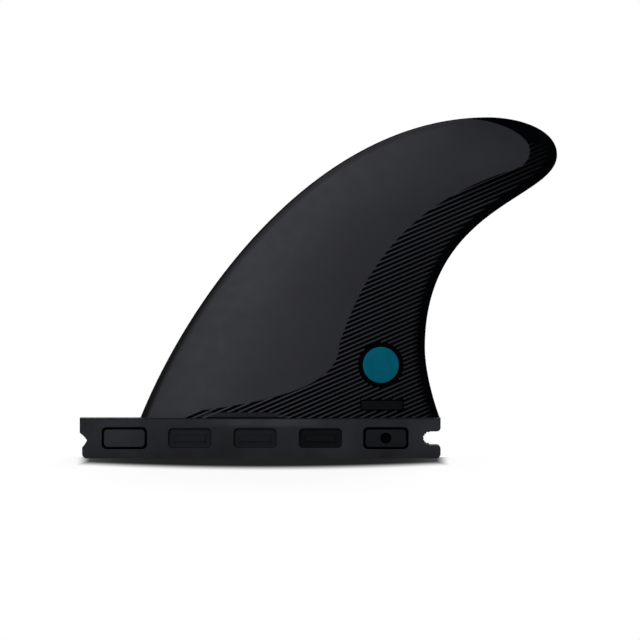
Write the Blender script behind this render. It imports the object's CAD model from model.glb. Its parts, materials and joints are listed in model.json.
"""The looks of a single-tab side fin for a surfboard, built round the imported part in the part's own frame.

Metres, +Z up. +X runs aft, towards the trailing edge and the raked tip. -Y is the convex outer side,
which carries the smooth panel, the ribs and the emblem disc.
"""

import json
import math

import bmesh
import bpy
import numpy as np
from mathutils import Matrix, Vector
from mathutils.geometry import delaunay_2d_cdt


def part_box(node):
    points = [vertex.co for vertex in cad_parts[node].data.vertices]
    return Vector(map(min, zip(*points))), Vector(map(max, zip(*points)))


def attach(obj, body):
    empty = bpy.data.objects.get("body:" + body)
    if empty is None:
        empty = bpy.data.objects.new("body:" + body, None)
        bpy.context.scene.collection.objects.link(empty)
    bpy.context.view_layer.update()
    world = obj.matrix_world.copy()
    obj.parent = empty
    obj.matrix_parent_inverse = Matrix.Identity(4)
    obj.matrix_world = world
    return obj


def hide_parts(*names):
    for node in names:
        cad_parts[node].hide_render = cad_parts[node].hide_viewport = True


MM = 0.001

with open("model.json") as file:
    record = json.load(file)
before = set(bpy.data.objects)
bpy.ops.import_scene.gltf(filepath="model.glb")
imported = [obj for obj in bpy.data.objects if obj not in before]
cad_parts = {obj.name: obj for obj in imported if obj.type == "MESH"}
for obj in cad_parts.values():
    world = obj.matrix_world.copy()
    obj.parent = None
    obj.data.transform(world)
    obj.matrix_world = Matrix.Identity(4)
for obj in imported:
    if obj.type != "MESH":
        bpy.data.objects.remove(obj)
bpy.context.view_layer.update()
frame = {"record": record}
FIN_LOW, FIN_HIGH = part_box("fin")
SEATS = {mount["name"]: mount["pos_m"] for mount in frame["record"]["mounts"]}

# Tab: the straight base that seats in the board's fin box
TAB_LENGTH = -2 * FIN_LOW.x
TAB_WIDTH = FIN_HIGH.y - FIN_LOW.y
TAB_DEPTH = SEATS["shoulder"][2]
TAB_EDGE_RADIUS = 0.3 * MM
TAB_CORNER_RADIUS = 1.4 * MM
SLOT_HEIGHT = 4.34 * MM
SLOT_DEPTH = 5.6 * MM
SLOT_LIP_RADIUS = 1.2 * MM
NOTCH_HEIGHT = 4.75 * MM
NOTCH_DEPTH = 2.55 * MM
NOTCH_DROP = 0.6 * MM
NOTCH_APEX_FLAT = 0.5 * MM
NOTCH_LIP_SETBACK = 0.75 * MM

# Pockets in both sides of the tab
POCKET_FRONT_MARGIN = 7.0 * MM
POCKET_REAR_MARGIN = 9.0 * MM
POCKET_WEB = 6.4 * MM
POCKET_LENGTH = 14.3 * MM
POCKET_HEIGHT = 6.95 * MM
POCKET_DEPTH = 1.5 * MM
POCKET_DRAFT = 0.15 * MM
POCKET_CORNER_RADIUS = 1.5 * MM
POCKET_MOUTH_RADIUS = 0.22 * MM
POCKET_FOOT_RADIUS = 0.15 * MM
FRAME_GROOVE = 0.4 * MM
FRAME_DISH = 0.15 * MM
PLAIN_INSET = 0.4 * MM
PLATE_INSET = 1.6 * MM
PLATE_HEIGHT = 0.3 * MM
PIN_HOLE_DIAMETER = 3.4 * MM
PIN_HOLE_DEPTH = 2.6 * MM

# Blade, seen from the side
SHOULDER_LAND = 19.1 * MM
HEEL_SETBACK = 0.2 * MM
CREST_REACH = 110.2 * MM
TIP_DROP = 11.85 * MM
WAIST_INSET = 4.7 * MM
WAIST_HEIGHT = 22.3 * MM
LEADING_ANGLE = math.radians(67.8)
HEEL_ANGLE = math.radians(68.3)
BLADE_SINK = 1.5 * MM
LEADING_PULLS = (0.468, 0.479)
TIP_PULLS = (0.474, 0.664)
TRAILING_PULLS = (0.233, 0.743)
HEEL_PULLS = (0.389, 0.128)

# Blade, in section
FOIL_THICKNESS = 5.3 * MM
EDGE_THICKNESS = 0.9 * MM
FOIL_OUTER_SHARE = 0.8
FOIL_PEAK = 0.38
FOIL_TAPER = 0.6

# Relief on the outer side: each raised form is level out to its flat, and is gone at its foot
RELIEF = 0.35 * MM
RELIEF_FADE = 1.8 * MM
PANEL_FLAT = -0.1 * MM
PANEL_FOOT = 0.2 * MM
RIB_FLAT = 0.18 * MM
RIB_FOOT = 0.44 * MM
RIB_PITCH = 1.3 * MM
RIB_RUNOUT = 2.2 * MM  # length over which a rib thins out at its free end
RIB_END_SHARE = 0.3  # width left at that end, as a share
RIB_TIP_SHARE = 0.45  # width at the height of the tip, in the same way
RIB_LEAN = 0.15  # a rib's top falls towards its upper side, by this share each way from its middle
SHORTEST_RIB = 1.2 * MM
RIB_ANGLE = math.radians(23.1)
RIB_OFFSET = 0.57 * MM
TRAILING_BAND = 2.0 * MM
TIP_BAND = 2.9 * MM
PANEL_LIFT = 0.5 * MM
PANEL_FOOT_RISE = 3.9 * MM
PANEL_FOOT_RUN = 50.5 * MM
KNEE_INSET = 27.1 * MM
KNEE_HEIGHT = 23.5 * MM
KNEE_PULL = 10.9 * MM
NOSE_INSET = 8.6 * MM
NOSE_RISE = 1.2 * MM
NOSE_CORNER_RUN = 4.2 * MM
NOSE_CORNER_DROP = 5.6 * MM
NOSE_ANGLE = math.radians(17.0)
PANEL_RISE_ANGLE = math.radians(71.7)
PANEL_CREST_INSET = 6.5 * MM
PANEL_REAR_PULLS = (0.52, 0.6)
PANEL_MARGIN = 0.3 * MM  # panel's front boundary, in from the leading edge
PANEL_FOOT_LENGTH = 13.1 * MM  # how far aft the panel reaches down to the shoulder
ROOT_STRIP_LENGTH = 47.6 * MM
ROOT_STRIP_HEIGHT = 1.8 * MM
ROOT_STRIP_GAP = 0.3 * MM
ROOT_STRIP_FRONT = 18.6 * MM
ROOT_STRIP_TAPER = 6.0 * MM
ROOT_STRIP_SHARE = 0.6  # its height, as a share of the relief
LABEL_SHARE = 0.4
CREST_BAND_FROM = 3.6 * MM  # height above the tip from which there are no ribs

# Emblem disc and bare label place
EMBLEM_INSET = 18.7 * MM
EMBLEM_HEIGHT = 16.8 * MM
EMBLEM_DIAMETER = 11.6 * MM
EMBLEM_MARGIN = 1.4 * MM
EMBLEM_INK = 0.05 * MM
EMBLEM_LOOPS = (0.6, 0.25)  # shares of the radius at which the disc follows the foil's curve
LABEL_INSET = 18.3 * MM
LABEL_HEIGHT = 4.0 * MM
LABEL_SIZE = (13.8 * MM, 3.6 * MM)
LABEL_EDGE = 0.35 * MM  # how far inside its place the bare label plate ends

# How finely the shapes are followed
EDGE_STEP = 1.0 * MM
PANEL_STEP = 0.8 * MM
RIB_STEP = 1.3 * MM
GRID_STEP = 2.2 * MM
GRID_ROW_STEP = GRID_STEP * math.sin(math.radians(60))  # staggered rows of even triangles
GRID_GAP = 0.7 * GRID_STEP  # room between the grid's points and the lines
EDGE_RINGS = [ring * MM for ring in (0.025, 0.09, 0.18, 0.3, 0.45, 0.9, 1.4, 1.9, 2.4)]
PANEL_CLEAR = EDGE_RINGS[2]  # the panel's lines end this far in from the blade's edge
RELIEF_CLEAR = EDGE_RINGS[4]  # the lines of the other raised forms end this far in
PANEL_LINES = [line * MM for line in (-0.3, -0.1, -0.02, 0.05, 0.12, 0.2)]
RIB_LINES = [line * MM for line in (0.09, 0.18, 0.28, 0.36, 0.44)]
CAP_STEPS = 6
RUNOUT_STEPS = 4
CORNER_STEPS = 6
DISC_STEPS = 96
PATCH_STEPS = 64
HOLE_STEPS = 48
ROUND_STEPS = 4
CURVE_POINTS = 600  # points of a cubic, before it is cut into even steps
BLOCK = 2000  # points that are measured at a time
WELD = 0.005 * MM
SHARP_ANGLE = math.radians(50)
DISC_SHARP_ANGLE = math.radians(60)

# Polish of the grey surface, from 0, dull and dark, to 1, satin and light
RIM_FLAT = 1.4 * MM  # width of the fully dull rim along the leading edge, at the root
RIM_FLAT_POWER = 2.0  # it narrows to nothing at the crest by this power of the height
RIM_END = 2.4 * MM  # where the rim has faded out, at the root
RIM_NARROWING = 2.2 * MM  # how much closer to the edge that is at the crest
RIM_NARROWING_POWER = 1.5
RIB_DULLING = 0.55  # polish that the ribs lose on their way to the trailing edge
TIP_REACH = 20.0 * MM  # how far below the tip they start to lose the rest
NOSE_DULLING = 0.4  # polish that the panel loses at its nose
NOSE_REACH = 18.0 * MM
RAIL_RISE = (9.6 * MM, 10.8 * MM)  # heights from which the tab's upper rail is lighter, in its middle
RAIL_MIDDLE = 2.0 * MM
RAIL_REACH = 30.0 * MM
LABEL_POLISH = 0.1
POCKET_POLISH = (1.0, 0.9, 0.25, 0.6)  # in each pocket behind the first one, which is as the tab

# Material slots, and how far up a raised form's edge, as a share, its grey face starts
BODY_GREY, TAB_GREY, DULL_GREY, RECESS_BLACK = range(4)
GREY_FROM = 0.6


def eased(share):
    """0 to 1 with a soft start and a soft end."""
    share = np.clip(share, 0.0, 1.0)
    return share * share * (3.0 - 2.0 * share)


def run_along(line):
    """Distance along an open line to each of its points."""
    return np.append(0.0, np.cumsum(np.linalg.norm(np.diff(line, axis=0), axis=1)))


def points_at(line, marks):
    return np.column_stack([np.interp(marks, run_along(line), line[:, i]) for i in (0, 1)])


def cubic(step, *points):
    """Evenly spaced points along one cubic, without the last, so that curves chain."""
    start, start_pull, end_pull, end = np.array(points)
    share = np.linspace(0.0, 1.0, CURVE_POINTS)[:, None]
    rest = 1.0 - share
    line = rest**3 * start + 3 * rest**2 * share * start_pull
    line = line + 3 * rest * share**2 * end_pull + share**3 * end
    run = run_along(line)
    return points_at(line, np.linspace(0.0, run[-1], max(3, round(run[-1] / step)), endpoint=False))


def chain(step, *points):
    """Cubics through a row of points, with two pulls between each point and the next."""
    starts = range(0, len(points) - 1, 3)
    return np.vstack([*[cubic(step, *points[i : i + 4]) for i in starts], [points[-1]]])


def arc(centre, radius, start_degrees, end_degrees, steps):
    angles = np.radians(np.linspace(start_degrees, end_degrees, steps + 1))
    return [(centre[0] + radius * math.cos(a), centre[1] + radius * math.sin(a)) for a in angles]


def along(point, angle, distance):
    return (point[0] + distance * math.cos(angle), point[1] + distance * math.sin(angle))


# Key points of the blade's outline, as (x, z)
ROOT_FRONT = (-TAB_LENGTH / 2 + SHOULDER_LAND, TAB_DEPTH)
ROOT_REAR = (TAB_LENGTH / 2 - HEEL_SETBACK, TAB_DEPTH)
CREST = (ROOT_FRONT[0] + CREST_REACH, FIN_HIGH.z)
TIP = (FIN_HIGH.x, CREST[1] - TIP_DROP)
WAIST = (ROOT_REAR[0] - WAIST_INSET, TAB_DEPTH + WAIST_HEIGHT)
BLADE_DEPTH = CREST[1] - TAB_DEPTH
BLADE_FLOOR = TAB_DEPTH - BLADE_SINK

# The blade's edge, from the shoulder to the crest, and from there round the tip and down to the tab
LEADING = cubic(
    EDGE_STEP,
    ROOT_FRONT,
    along(ROOT_FRONT, LEADING_ANGLE, LEADING_PULLS[0] * BLADE_DEPTH),
    (CREST[0] - LEADING_PULLS[1] * CREST_REACH, CREST[1]),
    CREST,
)
TRAILING_FALL = TIP[1] - WAIST[1]
TRAILING = chain(
    EDGE_STEP,
    CREST,
    (CREST[0] + TIP_PULLS[0] * (TIP[0] - CREST[0]), CREST[1]),
    (TIP[0], TIP[1] + TIP_PULLS[1] * TIP_DROP),
    TIP,
    (TIP[0], TIP[1] - TRAILING_PULLS[0] * TRAILING_FALL),
    (WAIST[0], WAIST[1] + TRAILING_PULLS[1] * TRAILING_FALL),
    WAIST,
    (WAIST[0], WAIST[1] - HEEL_PULLS[0] * WAIST_HEIGHT),
    along(ROOT_REAR, math.pi - HEEL_ANGLE, HEEL_PULLS[1] * WAIST_HEIGHT),
    ROOT_REAR,
)
LEADING_LINE = np.vstack([LEADING, [CREST]])
FREE_EDGE = np.vstack([LEADING, TRAILING])
FLOOR_RUN = np.arange(ROOT_REAR[0], ROOT_FRONT[0] + EDGE_STEP / 2, -EDGE_STEP)
FLOOR_POINTS = [(x, BLADE_FLOOR) for x in FLOOR_RUN]
OUTLINE = np.vstack([[(ROOT_FRONT[0], BLADE_FLOOR)], FREE_EDGE, FLOOR_POINTS])
FOIL_OFFSET = (FOIL_OUTER_SHARE - 0.5) * FOIL_THICKNESS + RELIEF / 2


def from_line(points, line):
    """Distance from each point to an open line of straight steps."""
    starts = line[:-1]
    steps = line[1:] - starts
    lengths = np.einsum("jk,jk->j", steps, steps)
    found = []
    for block in np.array_split(points, 1 + len(points) // BLOCK):
        offset = block[:, None, :] - starts[None, :, :]
        share = np.einsum("ijk,jk->ij", offset, steps) / lengths
        foot = starts + np.clip(share, 0.0, 1.0)[..., None] * steps
        found.append(np.linalg.norm(block[:, None, :] - foot, axis=2).min(axis=1))
    return np.concatenate(found)


def edge_x(heights):
    """The x of the leading and the trailing edge at each height."""
    return (
        np.interp(heights, LEADING_LINE[:, 1], LEADING_LINE[:, 0]),
        np.interp(heights, TRAILING[::-1, 1], TRAILING[::-1, 0]),
    )


def rise_of(points):
    """0 at the shoulder and below it, 1 at the crest."""
    return np.clip((points[:, 1] - TAB_DEPTH) / BLADE_DEPTH, 0.0, 1.0)


def out_of_floor(points):
    """0 at the blade's floor inside the tab, 1 from halfway up to the shoulder."""
    return np.clip(2 * (points[:, 1] - BLADE_FLOOR) / BLADE_SINK, 0.0, 1.0)


def from_blade_edge(points):
    return from_line(points, closed(OUTLINE))


def foil_thickness(points):
    """Thickness of the foil, without the edge's own. It closes below the shoulder."""
    heights = np.clip(points[:, 1], TAB_DEPTH, CREST[1])
    front, rear = edge_x(heights)
    share = np.clip((points[:, 0] - front) / np.maximum(rear - front, WELD), 0.0, 1.0)
    section = np.sin(np.pi * share ** (math.log(0.5) / math.log(FOIL_PEAK)))
    return FOIL_THICKNESS * section * (1.0 - rise_of(points)) ** FOIL_TAPER * out_of_floor(points)


def edge_half_thickness(from_edge):
    """Half the edge's thickness at each distance in from it, rounded to a half circle."""
    radius = EDGE_THICKNESS / 2
    short = 1.0 - np.clip((from_edge - WELD) / radius, 0.0, 1.0)
    return radius * np.sqrt(1.0 - short**2)


def outer_surface(points, relief):
    """The y of the outer side, with a relief height for each point."""
    fade = np.clip(from_line(points, FREE_EDGE) / RELIEF_FADE, 0.0, 1.0) * out_of_floor(points)
    foil = FOIL_OUTER_SHARE * foil_thickness(points)
    return FOIL_OFFSET - foil - edge_half_thickness(from_blade_edge(points)) - relief * fade


def inner_surface(points):
    foil = (1.0 - FOIL_OUTER_SHARE) * foil_thickness(points)
    return FOIL_OFFSET + foil + edge_half_thickness(from_blade_edge(points))


def closed(outline):
    return np.vstack([outline, outline[:1]])


def moved_in(outline, distances):
    """A closed outline that runs clockwise, each corner moved in by its own distance."""
    forward = np.roll(outline, -1, axis=0) - outline
    forward /= np.linalg.norm(forward, axis=1)[:, None]
    mean = forward + np.roll(forward, 1, axis=0)
    mean /= np.linalg.norm(mean, axis=1)[:, None]
    inward = np.column_stack([mean[:, 1], -mean[:, 0]])
    return outline + inward * np.reshape(distances, (-1, 1))


def contains(outline, points):
    """Whether each point is in a closed outline, by crossings of a ray along +x."""
    ends = np.roll(outline, -1, axis=0)
    inside = []
    for block in np.array_split(points, 1 + len(points) // BLOCK):
        x, z = block[:, 0, None], block[:, 1, None]
        straddles = (outline[:, 1] > z) != (ends[:, 1] > z)
        rise = np.where(ends[:, 1] == outline[:, 1], 1.0, ends[:, 1] - outline[:, 1])
        crossing = outline[:, 0] + (z - outline[:, 1]) * (ends[:, 0] - outline[:, 0]) / rise
        inside.append((straddles & (x < crossing)).sum(axis=1) % 2 == 1)
    return np.concatenate(inside)


def panel_outline():
    """The smooth raised panel, counter-clockwise: (outline, number of points of its rear boundary)."""
    foot_height = TAB_DEPTH + PANEL_LIFT
    foot = (edge_x(foot_height)[0] + PANEL_MARGIN, foot_height)
    knee = (WAIST[0] - KNEE_INSET, TAB_DEPTH + KNEE_HEIGHT)
    nose = (TIP[0] - NOSE_INSET, TIP[1] + NOSE_RISE)
    corner = (nose[0] - NOSE_CORNER_RUN, nose[1] - NOSE_CORNER_DROP)
    crest_x = CREST[0] - PANEL_CREST_INSET
    crest = (crest_x, np.interp(crest_x, LEADING[:, 0], LEADING[:, 1]) - PANEL_MARGIN)
    rise = corner[1] - knee[1]
    rear = chain(
        PANEL_STEP,
        foot,
        (foot[0] + PANEL_FOOT_RUN, foot[1] + PANEL_FOOT_RISE),
        (knee[0], knee[1] - KNEE_PULL),
        knee,
        along(knee, PANEL_RISE_ANGLE, PANEL_REAR_PULLS[0] * rise),
        along(corner, NOSE_ANGLE + math.pi, PANEL_REAR_PULLS[1] * rise),
        corner,
        along(corner, NOSE_ANGLE, NOSE_CORNER_RUN / 2),
        (nose[0], nose[1] - NOSE_CORNER_DROP / 2),
        nose,
        (nose[0], nose[1] + NOSE_CORNER_DROP),
        (crest[0] + NOSE_INSET, crest[1]),
        crest,
    )
    front = moved_in(OUTLINE, PANEL_MARGIN)[1 : 1 + len(LEADING)]
    front = front[(front[:, 0] < crest[0]) & (front[:, 1] > foot[1])]
    return np.vstack([rear, front[::-1]]), len(rear)


def circle(centre, radius, count):
    angles = np.linspace(0.0, 2 * math.pi, count, endpoint=False)
    return np.column_stack([centre[0] + radius * np.cos(angles), centre[1] + radius * np.sin(angles)])


EMBLEM_CENTRE = (ROOT_REAR[0] - EMBLEM_INSET, TAB_DEPTH + EMBLEM_HEIGHT)
PANEL, REAR_COUNT = panel_outline()


def label_place():
    middle = np.array((ROOT_REAR[0] - LABEL_INSET, TAB_DEPTH + LABEL_HEIGHT))
    corners = np.array([(-0.5, -0.5), (0.5, -0.5), (0.5, 0.5), (-0.5, 0.5)])
    return middle + corners * LABEL_SIZE


def root_strip(lift=ROOT_STRIP_GAP):
    """The strip along the blade's foot, from a lift above the shoulder, slanted in front as the ribs."""
    start = ROOT_FRONT[0] + ROOT_STRIP_FRONT
    end = ROOT_FRONT[0] + ROOT_STRIP_LENGTH
    floor = TAB_DEPTH + lift
    top = TAB_DEPTH + ROOT_STRIP_HEIGHT
    slant = (top - floor) / math.tan(RIB_ANGLE)
    return np.array([(start, floor), (end, floor), (end - ROOT_STRIP_TAPER, top), (start + slant, top)])


def panel_foot():
    """The panel's foot, past the shoulder, slanted as the leading edge in front and as the ribs aft."""
    start = ROOT_FRONT[0] + PANEL_MARGIN / math.sin(LEADING_ANGLE)
    end = ROOT_FRONT[0] + PANEL_FOOT_LENGTH
    fall, rise = 2 * BLADE_SINK, PANEL_FOOT_RISE
    corners = [
        (start - fall / math.tan(LEADING_ANGLE), TAB_DEPTH - fall),
        (end, TAB_DEPTH - fall),
        (end, TAB_DEPTH),
        (end + rise / math.tan(RIB_ANGLE), TAB_DEPTH + rise),
        (start + rise / math.tan(LEADING_ANGLE), TAB_DEPTH + rise),
    ]
    return np.array(corners)


def smooth_places():
    """The outlines that no rib enters."""
    patch = circle(EMBLEM_CENTRE, EMBLEM_DIAMETER / 2 + EMBLEM_MARGIN, PATCH_STEPS)
    low, high = (CREST[0], TIP[1] + CREST_BAND_FROM), (TIP[0], CREST[1])
    crest_band = np.array([low, (high[0], low[1]), high, (low[0], high[1])])
    return [patch, label_place(), root_strip(-BLADE_SINK), panel_foot(), crest_band]


RIB_ALONG = np.array([math.cos(RIB_ANGLE), math.sin(RIB_ANGLE)])
RIB_ACROSS = np.array([-math.sin(RIB_ANGLE), math.cos(RIB_ANGLE)])
RIB_ORIGIN = np.array([0.0, TAB_DEPTH])


def rib_frame(points):
    """Each (x, z) as (distance along the ribs, distance across them)."""
    offset = points - RIB_ORIGIN
    return np.column_stack([offset @ RIB_ALONG, offset @ RIB_ACROSS])


def from_rib_frame(points):
    return RIB_ORIGIN + points[:, :1] * RIB_ALONG + points[:, 1:] * RIB_ACROSS


def crossings(outline, across):
    """Where a line along the ribs crosses a closed outline, as distances along it."""
    starts = rib_frame(outline)
    ends = np.roll(starts, -1, axis=0)
    cut = (starts[:, 1] > across) != (ends[:, 1] > across)
    start, end = starts[cut], ends[cut]
    share = (across - start[:, 1]) / (end[:, 1] - start[:, 1])
    return list(start[:, 0] + share * (end[:, 0] - start[:, 0]))


def rib_spines(across, field, places):
    """The stretches of one rib: (across, start, end, whether it ends in the smooth band)."""
    probe_gap = 10 * WELD
    marks = sorted(mark for line in [field, PANEL, *places] for mark in crossings(line, across))
    spines = []
    for start, end in zip(marks, marks[1:]):
        probes = [(start - probe_gap, across), ((start + end) / 2, across), (end + probe_gap, across)]
        probes = from_rib_frame(np.array(probes))
        on_panel = contains(PANEL, probes)
        blocked = on_panel[1] or any(contains(place, probes[1:2])[0] for place in places)
        if blocked or not contains(field, probes[1:2])[0] or end - start < SHORTEST_RIB:
            continue
        start += -RIB_FOOT if on_panel[0] else RIB_FOOT / 2
        end += RIB_FOOT if on_panel[2] else -RIB_FOOT / 2
        spines.append((across, start, end, not contains(field, probes[2:])[0]))
    return spines


def rib_field():
    """The area that ribs may cover, inside the smooth band along the blade's free edge."""
    outline = np.vstack([OUTLINE[:1], FREE_EDGE, FLOOR_POINTS[:1]])
    field = moved_in(outline, TRAILING_BAND + (TIP_BAND - TRAILING_BAND) * rise_of(outline))
    field[[0, -1], 1] = TAB_DEPTH - BLADE_SINK / 2
    return field


def all_spines():
    field = rib_field()
    reach = rib_frame(field)[:, 1]
    first = math.ceil((reach.min() - RIB_OFFSET) / RIB_PITCH)
    last = math.floor((reach.max() - RIB_OFFSET) / RIB_PITCH)
    places = smooth_places()
    rows = [RIB_OFFSET + index * RIB_PITCH for index in range(first, last + 1)]
    return [spine for across in rows for spine in rib_spines(across, field, places)]


SPINES = all_spines()


def near_tip(heights):
    """0 well below the tip, 1 at the height of the tip and above."""
    return eased(1.0 - (TIP[1] - heights) / TIP_REACH)


def rib_width(spine, along_it):
    """The share of its width that a rib has at each distance along it."""
    across, _, end, runs_out = spine
    heights = RIB_ORIGIN[1] + along_it * RIB_ALONG[1] + across * RIB_ACROSS[1]
    width = 1.0 - (1.0 - RIB_TIP_SHARE) * near_tip(heights)
    if not runs_out:
        return width
    return width * (RIB_END_SHARE + (1.0 - RIB_END_SHARE) * eased((end - along_it) / RIB_RUNOUT))


def rib_line(spine, offset):
    """The closed line round a rib's spine at a distance from it, with round ends."""
    across, start, end, runs_out = spine
    runout = max(end - RIB_RUNOUT, (start + end) / 2) if runs_out else end
    run = np.linspace(start, runout, 1 + max(1, round((runout - start) / RIB_STEP)))
    run = np.append(run, np.linspace(runout, end, 1 + RUNOUT_STEPS)[1:] if runs_out else [])
    width = offset * rib_width(spine, run)
    rear = arc((end, across), width[-1], -90, 90, CAP_STEPS)
    front = arc((start, across), width[0], 90, 270, CAP_STEPS)
    upper = [(u, across + half) for u, half in zip(run[-2:0:-1], width[-2:0:-1])]
    lower = [(u, across - half) for u, half in zip(run[1:-1], width[1:-1])]
    return closed(from_rib_frame(np.array([*rear, *upper, *front, *lower])))


def rib_relief(points):
    """Each rib's top leans a little and rounds down to its foot on both sides and at its ends."""
    place = rib_frame(points)
    height = np.zeros(len(points))
    for spine in SPINES:
        across, start, end, _ = spine
        near = np.abs(place[:, 1] - across) < RIB_FOOT
        u, v = place[near].T
        beyond = np.maximum(np.maximum(start - u, u - end), 0.0)
        distance = np.hypot(beyond, v - across) / rib_width(spine, u)
        raised = 1.0 - eased((distance - RIB_FLAT) / (RIB_FOOT - RIB_FLAT))
        leaned = raised * (1.0 - RIB_LEAN * (v - across) / RIB_FOOT)
        height[near] = np.maximum(height[near], leaned)
    return height


def outside(points, outline):
    """Distance from each point to a closed outline, negative inside it."""
    distance = from_line(points, closed(outline))
    return np.where(contains(outline, points), -distance, distance)


def plateau(from_outline):
    """1 inside an outline and 0 outside it, with a rounded slope between."""
    return 1.0 - eased((from_outline - PANEL_FLAT) / (PANEL_FOOT - PANEL_FLAT))


def relief(points):
    """The relief's height at each (x, z), and how far up a grey and a dull face the point is."""
    panel = np.maximum(plateau(outside(points, PANEL)), plateau(outside(points, panel_foot())))
    strip = plateau(outside(points, root_strip()))
    label = plateau(outside(points, label_place()) + LABEL_EDGE)
    disc = plateau(np.linalg.norm(points - EMBLEM_CENTRE, axis=1) - EMBLEM_DIAMETER / 2)
    grey = np.maximum(panel, rib_relief(points))
    height = RELIEF * np.maximum.reduce([grey, ROOT_STRIP_SHARE * strip, LABEL_SHARE * label, disc])
    return height, grey, np.maximum(strip, label)


def grid_points(clear_of):
    """Points in staggered rows over the blade, clear of the closed outlines given."""
    rows = np.arange(BLADE_FLOOR + GRID_STEP / 2, CREST[1], GRID_ROW_STEP)
    columns = np.arange(OUTLINE[:, 0].min(), OUTLINE[:, 0].max(), GRID_STEP)
    shifts = [GRID_STEP / 2 * (i % 2) for i in range(len(rows))]
    points = np.array([(x + shift, z) for z, shift in zip(rows, shifts) for x in columns])
    points = points[contains(OUTLINE, points)]
    for outline in clear_of:
        points = points[from_line(points, closed(outline)) > GRID_GAP]
    return points


def triangulate(outline, lines, loose):
    """Triangles over a closed outline that keep every line: (points, triangles)."""
    points, edges = [tuple(point) for point in outline], []
    x, z = outline.T
    clockwise = np.dot(x, np.roll(z, -1)) < np.dot(z, np.roll(x, -1))
    area = list(range(len(points)))[:: -1 if clockwise else 1]
    for line in lines:
        corners = range(len(points), len(points) + len(line))
        points += [tuple(point) for point in line]
        edges += list(zip(corners, corners[1:]))
    points += [tuple(point) for point in loose]
    plan = delaunay_2d_cdt(points, edges, [area], 1, WELD)
    inside = [corners for corners, within in zip(plan[2], plan[5]) if within]
    return np.array([tuple(point) for point in plan[0]]), inside


def rim_of(triangles):
    """The corners round the edge of a patch of triangles, in order."""
    steps = {(a, b) for corners in triangles for a, b in zip(corners, [*corners[1:], corners[0]])}
    step = {start: end for start, end in steps if (end, start) not in steps}
    rim = [min(step)]
    while step[rim[-1]] != rim[0]:
        rim.append(step[rim[-1]])
    return rim


def edge_rings():
    """Closed lines just inside the blade's outline, where its edge rounds."""
    return [closed(moved_in(OUTLINE, distance)) for distance in EDGE_RINGS]


def outer_plan():
    """The outer side seen square on, with lines along every edge of the relief."""
    edges = edge_rings()
    for distance in PANEL_LINES:
        panel = moved_in(PANEL, distance)[:REAR_COUNT]
        foot_rear = moved_in(panel_foot()[::-1], -distance)[[3, 2, 1]]  # its rear side, from below
        edges += [panel[from_blade_edge(panel) > PANEL_CLEAR], cleared(foot_rear)]
        for outline, less in [(root_strip(), 0.0), (label_place(), LABEL_EDGE)]:
            edges.append(cleared(closed(moved_in(outline[::-1], less - distance))))
        edges.append(closed(circle(EMBLEM_CENTRE, EMBLEM_DIAMETER / 2 + distance, DISC_STEPS)))
    ribs = [rib_line(spine, offset) for spine in SPINES for offset in RIB_LINES]
    on_ribs = moved_in(rib_field(), -RIB_FOOT)
    loose = grid_points([OUTLINE, PANEL])
    loose = loose[contains(PANEL, loose) | ~contains(on_ribs, loose)]
    return triangulate(OUTLINE, [*edges, *ribs], loose)


def cleared(line):
    """A fine copy of an open line, without what is outside the blade or close to its edge."""
    fine = points_at(line, np.arange(0.0, run_along(line)[-1], PANEL_STEP))
    return fine[contains(OUTLINE, fine) & (from_blade_edge(fine) > RELIEF_CLEAR)]


def blade_mesh():
    """The blade as one closed skin: both sides meet in the line of its free edge."""
    points, triangles = outer_plan()
    height, grey, dull = relief(points)
    rim = points[rim_of(triangles)]
    inner_points, inner_triangles = triangulate(rim, edge_rings(), grid_points([OUTLINE]))
    level = np.ones(len(inner_points))
    sides = [
        (points, outer_surface(points, height), triangles, grey, dull),
        (inner_points, inner_surface(inner_points), inner_triangles, level, level),
    ]
    made = bmesh.new()
    for plan, across, patch, grey, dull in sides:
        used = sorted({corner for corners in patch for corner in corners})
        vertices = {i: made.verts.new((plan[i][0], across[i], plan[i][1])) for i in used}
        for corners in patch:
            face = made.faces.new([vertices[corner] for corner in corners])
            if grey[list(corners)].min() > GREY_FROM:
                face.material_index = BODY_GREY
            else:
                face.material_index = DULL_GREY if dull[list(corners)].min() > GREY_FROM else RECESS_BLACK
    bmesh.ops.remove_doubles(made, verts=made.verts, dist=WELD / 2)
    return finished(made, "blade_form")


def finished(made, name):
    """The bmesh as a named mesh, with its faces pointing out."""
    bmesh.ops.recalc_face_normals(made, faces=made.faces)
    mesh = bpy.data.meshes.new(name)
    made.to_mesh(mesh)
    made.free()
    return mesh


def tab_profile():
    """The tab's side outline, with the slot in its rear end and the notch in front."""
    front, rear, middle = -TAB_LENGTH / 2, TAB_LENGTH / 2, TAB_DEPTH / 2
    slot = SLOT_HEIGHT / 2
    lip, corner = SLOT_LIP_RADIUS, TAB_CORNER_RADIUS
    notch_middle = middle - NOTCH_DROP
    notch_floor = notch_middle - NOTCH_HEIGHT / 2
    lower_front = front + NOTCH_LIP_SETBACK
    slot_end = (rear - SLOT_DEPTH + slot, middle)
    return [
        (rear, TAB_DEPTH),
        *arc((rear - lip, middle + slot + lip), lip, 0, -90, CORNER_STEPS),
        *arc(slot_end, slot, 90, 270, 3 * CORNER_STEPS),
        *arc((rear - lip, middle - slot - lip), lip, 90, 0, CORNER_STEPS),
        *arc((rear - corner, corner), corner, 0, -90, CORNER_STEPS),
        *arc((lower_front + corner, corner), corner, 270, 180, CORNER_STEPS),
        (lower_front, notch_floor),
        (front + NOTCH_DEPTH, notch_middle - NOTCH_APEX_FLAT / 2),
        (front + NOTCH_DEPTH, notch_middle + NOTCH_APEX_FLAT / 2),
        (front, notch_middle + NOTCH_HEIGHT / 2),
        (front, TAB_DEPTH),
    ]


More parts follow.
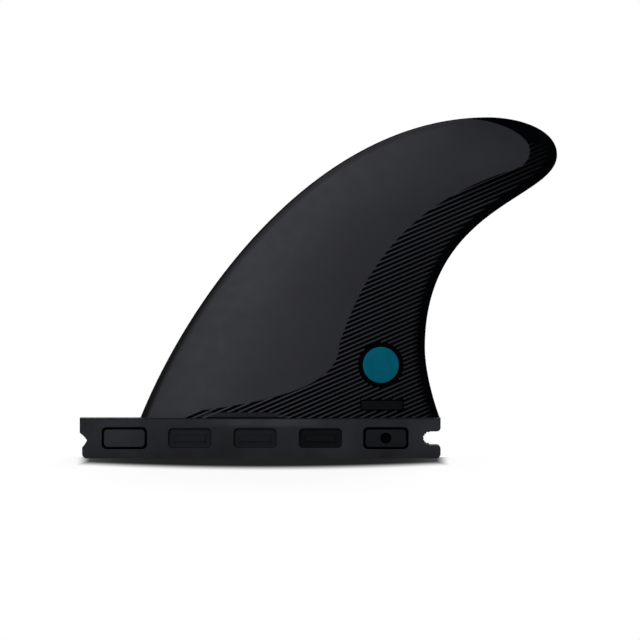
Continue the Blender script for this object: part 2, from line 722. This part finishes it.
def tab_mesh():
    """The tab without its pockets, in its own grey."""
    made = bmesh.new()
    profile = tab_profile()
    sides = []
    for y in (-TAB_WIDTH / 2, TAB_WIDTH / 2):
        sides.append([made.verts.new((x, y, z)) for x, z in profile])
    faces = [made.faces.new(side) for side in sides]
    for face in faces:
        face.material_index = TAB_GREY
    bridge(made, *sides, TAB_GREY)
    edges = list({edge for face in faces for edge in face.edges})
    bmesh.ops.bevel(
        made, geom=edges, offset=TAB_EDGE_RADIUS, segments=ROUND_STEPS, profile=0.5, affect="EDGES"
    )
    return finished(made, "tab_form")


def bridge(made, first, second, slot):
    """Quads between two loops that have as many corners, with a material slot."""
    for i in range(len(first)):
        j = (i + 1) % len(first)
        made.faces.new([first[i], first[j], second[j], second[i]]).material_index = slot


def rounded_rectangle(centre, length, height, radius):
    half_length, half_height = length / 2 - radius, height / 2 - radius
    points = []
    for turn, (along_x, along_z) in enumerate([(1, 1), (-1, 1), (-1, -1), (1, -1)]):
        corner = (centre[0] + along_x * half_length, centre[1] + along_z * half_height)
        points += arc(corner, radius, 90 * turn, 90 * turn + 90, CORNER_STEPS)
    return points


def pocket_places():
    """The centre x of each pocket, from the front end aft."""
    pitch = POCKET_LENGTH + POCKET_WEB
    room = TAB_LENGTH - POCKET_FRONT_MARGIN - POCKET_REAR_MARGIN
    count = int((room + POCKET_WEB) / pitch)
    first = -TAB_LENGTH / 2 + POCKET_FRONT_MARGIN + POCKET_LENGTH / 2
    return [first + i * pitch for i in range(count)]


def edge_round(depth, less, radius):
    """A convex edge of the material, from its top at depth down by radius, as (depth, less) steps."""
    return arc((depth + radius, less - radius), radius, 180, 90, ROUND_STEPS)


def corner_round(depth, less, radius):
    """A hollow corner between a wall and the floor at depth, as (depth, less) steps."""
    return arc((depth - radius, less + radius), radius, -90, 0, ROUND_STEPS)


def add_layers(made, loops, slots, top_slot):
    """A closed form through a row of loops, with a slot for each step and for its last face."""
    for first, second, slot in zip(loops, loops[1:], slots):
        bridge(made, first, second, slot)
    made.faces.new(loops[0]).material_index = slots[0]
    made.faces.new(loops[-1]).material_index = top_slot


def add_pocket(made, centre_x, side, framed, island_slot):
    """A closed cutter: a drafted pocket round an island, nearly flush if framed, or else low."""
    face = side * TAB_WIDTH / 2
    wall = 0.0 if framed else PLAIN_INSET
    wall_foot = wall + POCKET_DRAFT
    island_foot = wall_foot + (FRAME_GROOVE if framed else PLATE_INSET)
    island = FRAME_DISH if framed else POCKET_DEPTH - PLATE_HEIGHT
    island_edge = island_foot + POCKET_DRAFT
    mouth, foot = POCKET_MOUTH_RADIUS, POCKET_FOOT_RADIUS
    top = [(-POCKET_DEPTH, wall - mouth), *edge_round(0.0, wall, mouth)]
    walls = [*corner_round(POCKET_DEPTH, wall_foot, foot), (POCKET_DEPTH, island_foot)]
    island_edges = edge_round(island, island_edge, foot)[::-1]
    layers = [*top, *walls, *[(depth, 2 * island_edge - less) for depth, less in island_edges]]
    groove = RECESS_BLACK if framed else DULL_GREY
    slots = [TAB_GREY] * (len(top) - 1) + [groove] * (len(walls) + 1) + [island_slot] * ROUND_STEPS
    loops = []
    for depth, less in layers:
        size = (POCKET_LENGTH - 2 * less, POCKET_HEIGHT - 2 * less)
        outline = rounded_rectangle((centre_x, TAB_DEPTH / 2), *size, POCKET_CORNER_RADIUS - less / 2)
        loops.append([made.verts.new((x, face - side * depth, z)) for x, z in outline])
    add_layers(made, loops, slots, island_slot)


def pocket_cutter_mesh():
    made = bmesh.new()
    places = pocket_places()
    for side in (-1, 1):
        for centre_x in places:
            framed = centre_x in (places[0], places[-1])
            add_pocket(made, centre_x, side, framed, TAB_GREY if centre_x == places[0] else DULL_GREY)
    return finished(made, "pocket_cutter")


def pin_hole_cutter_mesh():
    """A round blind hole in the last pocket's island, from the outer side."""
    made = bmesh.new()
    centre = (pocket_places()[-1], TAB_DEPTH / 2)
    radius = PIN_HOLE_DIAMETER / 2
    layers = [
        (-POCKET_DEPTH, -POCKET_MOUTH_RADIUS),
        *edge_round(FRAME_DISH, 0.0, POCKET_MOUTH_RADIUS),
        *corner_round(PIN_HOLE_DEPTH, POCKET_DRAFT, POCKET_FOOT_RADIUS),
    ]
    loops = []
    for depth, less in layers:
        outline = circle(centre, radius - less, HOLE_STEPS)
        loops.append([made.verts.new((x, depth - TAB_WIDTH / 2, z)) for x, z in outline])
    slots = [DULL_GREY] * ROUND_STEPS + [RECESS_BLACK] * (len(layers) - 1 - ROUND_STEPS)
    add_layers(made, loops, slots, RECESS_BLACK)
    return finished(made, "pin_hole_cutter")


def linked(name, data):
    """A new object in the scene, with its mesh, lamp or camera."""
    made = bpy.data.objects.new(name, data)
    bpy.context.scene.collection.objects.link(made)
    return made


def add_object(mesh, materials):
    for slot in materials:
        mesh.materials.append(slot)
    return linked(mesh.name, mesh)


def combined(name, operation, first, *others):
    """One mesh from an object and those joined to it or cut from it. Uses up the objects."""
    for other in others:
        modifier = first.modifiers.new(other.name, "BOOLEAN")
        modifier.operation = operation
        modifier.solver = "EXACT"
        modifier.object = other
    bpy.context.view_layer.update()
    evaluated = first.evaluated_get(bpy.context.evaluated_depsgraph_get())
    mesh = bpy.data.meshes.new_from_object(evaluated)
    mesh.name = name
    for obj in [first, *others]:
        bpy.data.objects.remove(obj, do_unlink=True)
    return mesh


def leading_edge_polish(plan):
    """0 on the dull rim along the leading edge, which narrows upwards, and 1 behind it."""
    rise = rise_of(plan)
    start = RIM_FLAT * (1.0 - rise) ** RIM_FLAT_POWER
    end = RIM_END - RIM_NARROWING * rise**RIM_NARROWING_POWER
    return eased((from_line(plan, LEADING_LINE) - start) / (end - start))


def rib_polish(plan):
    """1 on the panel, and less at its nose. On the ribs less from there aft, and none at the tip."""
    from_panel = np.maximum(outside(plan, PANEL), 0.0)
    from_edge = from_line(plan, TRAILING)
    aft = from_panel / np.maximum(from_panel + from_edge, WELD)
    nose = NOSE_DULLING * eased(1.0 - from_edge / NOSE_REACH)
    lost = nose + (near_tip(plan[:, 1]) - nose) * np.clip(from_panel / RIB_FOOT, 0.0, 1.0)
    polish = (1.0 - RIB_DULLING * aft) * (1.0 - lost)
    polish[contains(label_place(), plan)] = LABEL_POLISH
    return polish


def pocket_polish(plan):
    """Each pocket behind the first one has a level of its own, inside its mouth."""
    polish = np.zeros(len(plan))
    size = (POCKET_LENGTH - 2 * PLAIN_INSET - WELD, POCKET_HEIGHT - 2 * PLAIN_INSET - WELD)
    for centre_x, level in zip(pocket_places()[1:], POCKET_POLISH):
        place = rounded_rectangle((centre_x, TAB_DEPTH / 2), *size, POCKET_CORNER_RADIUS)
        polish[contains(np.array(place), plan)] = level
    return polish


def store_polish(mesh):
    """Keeps the polish at each point for the materials."""
    points = np.zeros(len(mesh.vertices) * 3, np.float32)
    mesh.vertices.foreach_get("co", points)
    across = points[1::3]
    plan = points.reshape(-1, 3)[:, [0, 2]].astype(float)
    relief_polish = np.where(across < FOIL_OFFSET, rib_polish(plan), 1.0)
    on_blade = plan[:, 1] > TAB_DEPTH - WELD
    polish = np.where(on_blade, leading_edge_polish(plan) * relief_polish, pocket_polish(plan))
    attribute = mesh.attributes.new("polish", "FLOAT", "POINT")
    attribute.data.foreach_set("value", polish.astype(np.float32))


def add_moulding(materials):
    """Blade, tab, pockets, notch, slot and hole in one closed skin."""
    tab = add_object(tab_mesh(), materials)
    pockets = add_object(pocket_cutter_mesh(), materials)
    pin_hole = add_object(pin_hole_cutter_mesh(), materials)
    tab = linked("tab", combined("tab", "DIFFERENCE", tab, pockets, pin_hole))
    blade = add_object(blade_mesh(), materials)
    mesh = combined("fin_moulding", "UNION", blade, tab)
    mesh.shade_smooth()
    mesh.set_sharp_from_angle(angle=SHARP_ANGLE)
    store_polish(mesh)
    piece = linked("fin_moulding", mesh)
    level_faces = piece.modifiers.new("level_faces", "WEIGHTED_NORMAL")
    level_faces.keep_sharp = True
    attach(piece, "root")
    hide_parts("fin")


def add_emblem(material):
    """A thin teal disc on its raised seat."""
    made = bmesh.new()
    radius = EMBLEM_DIAMETER / 2 - 2 * EMBLEM_INK
    layers = [(radius, -RELIEF / 2), (radius, EMBLEM_INK / 2), (radius - EMBLEM_INK, EMBLEM_INK)]
    layers += [(share * radius, EMBLEM_INK) for share in EMBLEM_LOOPS]
    loops = []
    for reach, lift in layers:
        outline = circle(EMBLEM_CENTRE, reach, DISC_STEPS)
        across = outer_surface(outline, np.full(len(outline), RELIEF + lift))
        loops.append([made.verts.new((x, y, z)) for (x, z), y in zip(outline, across)])
    add_layers(made, loops, [0] * len(loops), 0)
    mesh = finished(made, "emblem_disc")
    mesh.shade_smooth()
    mesh.set_sharp_from_angle(angle=DISC_SHARP_ANGLE)
    piece = add_object(mesh, [material])
    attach(piece, "root")


NOISE_MIDDLE = (0.3, 0.7)  # most of a noise pattern's values lie between these
GLOSS_TINT = (0.9, 0.92, 1.0)


def feed(tree, socket, value):
    """Links a socket to another node's output, or sets it to a number or a colour."""
    if isinstance(value, bpy.types.NodeSocket):
        tree.links.new(value, socket)
    else:
        socket.default_value = (*value, 1.0) if isinstance(value, tuple) else value


def add_node(tree, kind, inputs, **settings):
    """A new node with its settings. Its inputs go by name or by place."""
    made = tree.nodes.new(kind)
    for name, setting in settings.items():
        setattr(made, name, setting)
    for name, value in inputs.items():
        feed(tree, made.inputs[name], value)
    return made


def object_place(tree):
    return add_node(tree, "ShaderNodeTexCoord", {}).outputs["Object"]


def object_axes(tree):
    """The part's own coordinates, by the letter of their axis."""
    return add_node(tree, "ShaderNodeSeparateXYZ", {"Vector": object_place(tree)}).outputs


def noise(tree, waves, detail):
    """A noise pattern in the part's own coordinates, with that many waves to the metre."""
    inputs = {"Scale": waves, "Detail": detail, "Vector": object_place(tree)}
    return add_node(tree, "ShaderNodeTexNoise", inputs).outputs["Fac"]


def ranged(tree, value, low, high, new_low, new_high, kind="LINEAR"):
    inputs = dict(enumerate([value, low, high, new_low, new_high]))
    return add_node(tree, "ShaderNodeMapRange", inputs, interpolation_type=kind).outputs["Result"]


def clouds(tree, waves, low=0.0, high=1.0):
    """A noise pattern that wanders from low to high."""
    return ranged(tree, noise(tree, waves, detail=3.0), *NOISE_MIDDLE, low, high)


def maths(tree, operation, *values):
    inputs = dict(enumerate(values))
    return add_node(tree, "ShaderNodeMath", inputs, operation=operation).outputs["Value"]


def mixed_colour(tree, factor, *colours):
    """A blend of two colours, each a colour or another node's output."""
    made = add_node(tree, "ShaderNodeMix", {"Factor": factor}, data_type="RGBA")
    sockets = [socket for socket in made.inputs if socket.type == "RGBA"]
    for socket, colour in zip(sockets, colours):
        feed(tree, socket, colour)
    return next(socket for socket in made.outputs if socket.type == "RGBA")


def mottled(tree, cloudy, colour, spread):
    """A colour that gets a little darker and lighter with a noise pattern."""
    darker = tuple(channel * (1.0 - spread) for channel in colour)
    lighter = tuple(channel * (1.0 + spread) for channel in colour)
    return mixed_colour(tree, cloudy, darker, lighter)


def stored_polish(tree):
    return add_node(tree, "ShaderNodeAttribute", {}, attribute_name="polish").outputs["Fac"]


def rail_polish(tree):
    """1 in the middle of the tab's upper rail, above the pockets, and 0 away from it."""
    place = object_axes(tree)
    from_middle = maths(tree, "ABSOLUTE", maths(tree, "SUBTRACT", place["X"], RAIL_MIDDLE))
    middle = ranged(tree, from_middle, 0.0, RAIL_REACH, 1.0, 0.0, "SMOOTHSTEP")
    upper = ranged(tree, place["Z"], *RAIL_RISE, 0.0, 1.0, "SMOOTHSTEP")
    return maths(tree, "MULTIPLY", middle, upper)


def new_material(name, gloss):
    """A plastic with a level of gloss: (the material, its node tree, its shader)."""
    made = bpy.data.materials.new(name)
    made.use_nodes = True
    shader = made.node_tree.nodes["Principled BSDF"]
    shader.inputs["Specular IOR Level"].default_value = gloss
    return made, made.node_tree, shader


def add_finish(tree, shader, colour, rough, waves, depth):
    """Colour, roughness and the fine grain of a moulded or printed surface, as a bump."""
    bump = {"Distance": depth, "Height": noise(tree, waves, detail=2.0)}
    grain = add_node(tree, "ShaderNodeBump", bump).outputs["Normal"]
    for name, value in {"Base Color": colour, "Roughness": rough, "Normal": grain}.items():
        feed(tree, shader.inputs[name], value)


def grey_plastic(name, gloss, polish, colours, roughness, spread):
    """Moulded grey with a polish from 0 to 1. Each pair is its look when dull and when polished."""
    made, tree, shader = new_material(name, gloss)
    feed(tree, shader.inputs["Specular Tint"], GLOSS_TINT)
    shine = polish(tree)
    cloudy = clouds(tree, waves=60.0)
    colour = mixed_colour(tree, shine, *[mottled(tree, cloudy, colour, spread) for colour in colours])
    uneven = clouds(tree, waves=260.0, low=-0.03, high=0.03)
    rough = maths(tree, "ADD", ranged(tree, shine, 0.0, 1.0, *roughness), uneven)
    add_finish(tree, shader, colour, rough, waves=4500.0, depth=0.014 * MM)
    return made


def moulded_grey():
    """Grey of the panel and the ribs, nearly black and rougher along the leading edge."""
    return grey_plastic(
        "moulded_grey",
        gloss=0.112,
        polish=stored_polish,
        colours=((0.001, 0.001, 0.001), (0.0092, 0.0093, 0.0116)),
        roughness=(0.85, 0.43),
        spread=0.12,
    )


def tab_grey():
    """The tab's grey, a little duller than the panel's."""
    return grey_plastic(
        "tab_grey",
        gloss=0.09,
        polish=rail_polish,
        colours=((0.0084, 0.0088, 0.0104), (0.0215, 0.0217, 0.0250)),
        roughness=(0.58, 0.5),
        spread=0.5,
    )


def dull_grey():
    """Grey of the low faces: the root strip, the label plate and the pockets' floors."""
    return grey_plastic(
        "dull_grey",
        gloss=0.03,
        polish=stored_polish,
        colours=((0.0012, 0.0013, 0.0020), (0.0095, 0.0098, 0.0118)),
        roughness=(0.6, 0.5),
        spread=0.15,
    )


def recess_black():
    """Smooth black in the grooves and the bands."""
    made, tree, shader = new_material("recess_black", gloss=0.005)
    colour = mottled(tree, clouds(tree, waves=120.0), (0.0004, 0.0005, 0.0008), spread=0.4)
    rough = clouds(tree, waves=400.0, low=0.34, high=0.42)
    add_finish(tree, shader, colour, rough, waves=2400.0, depth=0.01 * MM)
    return made


def emblem_teal():
    """Flat teal ink, very slightly uneven."""
    made, tree, shader = new_material("emblem_teal", gloss=0.01)
    cloudy = clouds(tree, waves=380.0)
    colour = mixed_colour(tree, cloudy, (0.0007, 0.058, 0.092), (0.0010, 0.067, 0.101))
    rough = clouds(tree, waves=900.0, low=0.38, high=0.5)
    add_finish(tree, shader, colour, rough, waves=5000.0, depth=0.01 * MM)
    return made


# Stage: a white floor that runs into a white surround, three soft lamps and the photo's camera
FLOOR_SIZE = 6.0
FLOOR_WHITE = 0.9
FLOOR_GLOW = 0.7  # share of plain white that the camera sees in the floor near the fin
FLOOR_FALL = math.radians(6.0)  # in front of the fin and behind it
FALL_REACH = 0.06
CONTACT_MIDDLE = 0.001  # x of the middle of the contact shadow
CONTACT_LENGTH = 0.0567  # its half length
CONTACT_WIDTH = 0.0228  # its half width, in the middle
CONTACT_WIDTH_LOSS = 0.4  # share of its width lost at its ends
CONTACT_WIDTH_POWER = 2.0
CONTACT_SOFT = 0.0057  # how far to each side of its edge it fades
CONTACT_END_SOFT = 0.0025
CONTACT_DARK = 0.0165
CONTACT_END_SHARE = 0.06  # how clear the floor is at its ends, before it fades
CONTACT_END_POWER = 8.0
PLAIN_FROM = 0.05  # distance from the fin at which the floor starts to turn plain white
PLAIN_AT = 0.14
AMBIENT = 0.35
VIEW_CENTRE = Vector((0.01895, 0.0, 0.04372))
VIEW_WIDTH = 0.20285
VIEW_ELEVATION = math.radians(2.0)
LENS = 400.0
SENSOR = 36.0
LAMPS = [
    # Name, azimuth and elevation in degrees, distance, size and level
    ("key", -16.5, 14, 0.6, 0.3, 0.63),
    ("top", 20, 84, 0.7, 0.5, 0.55),
    ("back", 160, 35, 0.8, 0.5, 0.35),
]


def background_ray(tree):
    """1 for rays that see the plain white surround: from the camera, in gloss and through glass."""
    path = add_node(tree, "ShaderNodeLightPath", {}).outputs
    shiny = maths(tree, "MAXIMUM", path["Is Camera Ray"], path["Is Glossy Ray"])
    return maths(tree, "MAXIMUM", shiny, path["Is Transmission Ray"])


def mixed_shader(tree, factor, first, second):
    inputs = {0: factor, 1: first, 2: second}
    return add_node(tree, "ShaderNodeMixShader", inputs).outputs["Shader"]


def empty_tree(owner):
    """A world's or a material's node tree, emptied."""
    owner.use_nodes = True
    owner.node_tree.nodes.clear()
    return owner.node_tree


def add_surround():
    world = bpy.data.worlds.new("studio")
    bpy.context.scene.world = world
    tree = empty_tree(world)
    inputs = [{"Color": (level,) * 3} for level in (AMBIENT, 1.0)]
    shaders = [add_node(tree, "ShaderNodeBackground", colour).outputs[0] for colour in inputs]
    surface = mixed_shader(tree, background_ray(tree), *shaders)
    add_node(tree, "ShaderNodeOutputWorld", {"Surface": surface})


def floor_material():
    """White paint with a contact shadow. The camera sees it as part plain white, and all far off."""
    made = bpy.data.materials.new("floor_white")
    tree = empty_tree(made)
    clear = clear_of_contact(tree)
    reach = add_node(tree, "ShaderNodeVectorMath", {0: object_place(tree)}, operation="LENGTH")
    share = ranged(tree, reach.outputs["Value"], PLAIN_FROM, PLAIN_AT, FLOOR_GLOW, 1.0)
    shaders = []
    for kind, white in (("ShaderNodeBsdfDiffuse", FLOOR_WHITE), ("ShaderNodeEmission", 1.0)):
        shade = mixed_colour(tree, clear, (CONTACT_DARK,) * 3, (white,) * 3)
        shaders.append(add_node(tree, kind, {"Color": shade}).outputs[0])
    seen = mixed_shader(tree, share, *shaders)
    surface = mixed_shader(tree, background_ray(tree), shaders[0], seen)
    add_node(tree, "ShaderNodeOutputMaterial", {"Surface": surface})
    return made


def clear_of_contact(tree):
    """0 in the contact shadow under the fin, which is widest in its middle, and 1 outside it."""
    place = object_axes(tree)
    along_it = maths(tree, "ABSOLUTE", maths(tree, "SUBTRACT", place["X"], CONTACT_MIDDLE))
    share = maths(tree, "DIVIDE", along_it, CONTACT_LENGTH)
    faint = maths(tree, "MULTIPLY", maths(tree, "POWER", share, CONTACT_END_POWER), CONTACT_END_SHARE)
    narrowing = maths(tree, "POWER", share, CONTACT_WIDTH_POWER)
    lost = maths(tree, "MULTIPLY", narrowing, CONTACT_WIDTH_LOSS * CONTACT_WIDTH)
    half_width = maths(tree, "SUBTRACT", CONTACT_WIDTH, lost)
    across = maths(tree, "SUBTRACT", maths(tree, "ABSOLUTE", place["Y"]), half_width)
    beside = ranged(tree, across, -CONTACT_SOFT, CONTACT_SOFT, 0.0, 1.0, "SMOOTHSTEP")
    start, end = CONTACT_LENGTH - CONTACT_END_SOFT, CONTACT_LENGTH + CONTACT_END_SOFT
    beyond = ranged(tree, along_it, start, end, 0.0, 1.0, "SMOOTHSTEP")
    return maths(tree, "MAXIMUM", maths(tree, "MAXIMUM", beside, beyond), faint)


def add_floor():
    """Level under the fin, and falling gently from there."""
    edge, crown = FLOOR_SIZE / 2, TAB_WIDTH / 2
    drop = (FALL_REACH - crown) * math.tan(FLOOR_FALL)
    rear = [(crown, 0.0), (FALL_REACH, -drop), (edge, -drop)]
    profile = [*[(-y, z) for y, z in rear[::-1]], *rear]
    made = bmesh.new()
    rows = [[made.verts.new((x, y, z)) for y, z in profile] for x in (-edge, edge)]
    for i in range(len(profile) - 1):
        made.faces.new([rows[0][i], rows[1][i], rows[1][i + 1], rows[0][i + 1]])
    mesh = finished(made, "floor")
    mesh.shade_smooth()
    add_object(mesh, [floor_material()])


def aim_at_fin(obj, azimuth, elevation, distance):
    """Places a lamp or the camera, turned to the fin. Azimuth 0 is the outer side."""
    level = math.cos(elevation)
    direction = Vector((math.sin(azimuth) * level, -math.cos(azimuth) * level, math.sin(elevation)))
    obj.location = VIEW_CENTRE + direction * distance
    obj.rotation_euler = (-direction).to_track_quat("-Z", "Y").to_euler()


def add_lamp(name, azimuth, elevation, distance, size, level):
    """A soft lamp. At level 1 it alone makes a face turned to it render in its own colour."""
    lamp = bpy.data.lights.new(name, "AREA")
    lamp.shape = "SQUARE"
    lamp.size = size
    lamp.energy = level * (math.pi * distance) ** 2
    aim_at_fin(linked(name, lamp), math.radians(azimuth), math.radians(elevation), distance)


def add_camera():
    camera = linked("camera", bpy.data.cameras.new("camera"))
    camera.data.lens = LENS
    camera.data.sensor_width = SENSOR
    aim_at_fin(camera, 0.0, VIEW_ELEVATION, LENS / SENSOR * VIEW_WIDTH)
    bpy.context.scene.camera = camera


add_moulding([moulded_grey(), tab_grey(), dull_grey(), recess_black()])
add_emblem(emblem_teal())
add_surround()
add_floor()
for settings in LAMPS:
    add_lamp(*settings)
add_camera()
bpy.context.scene.view_settings.view_transform = "Standard"
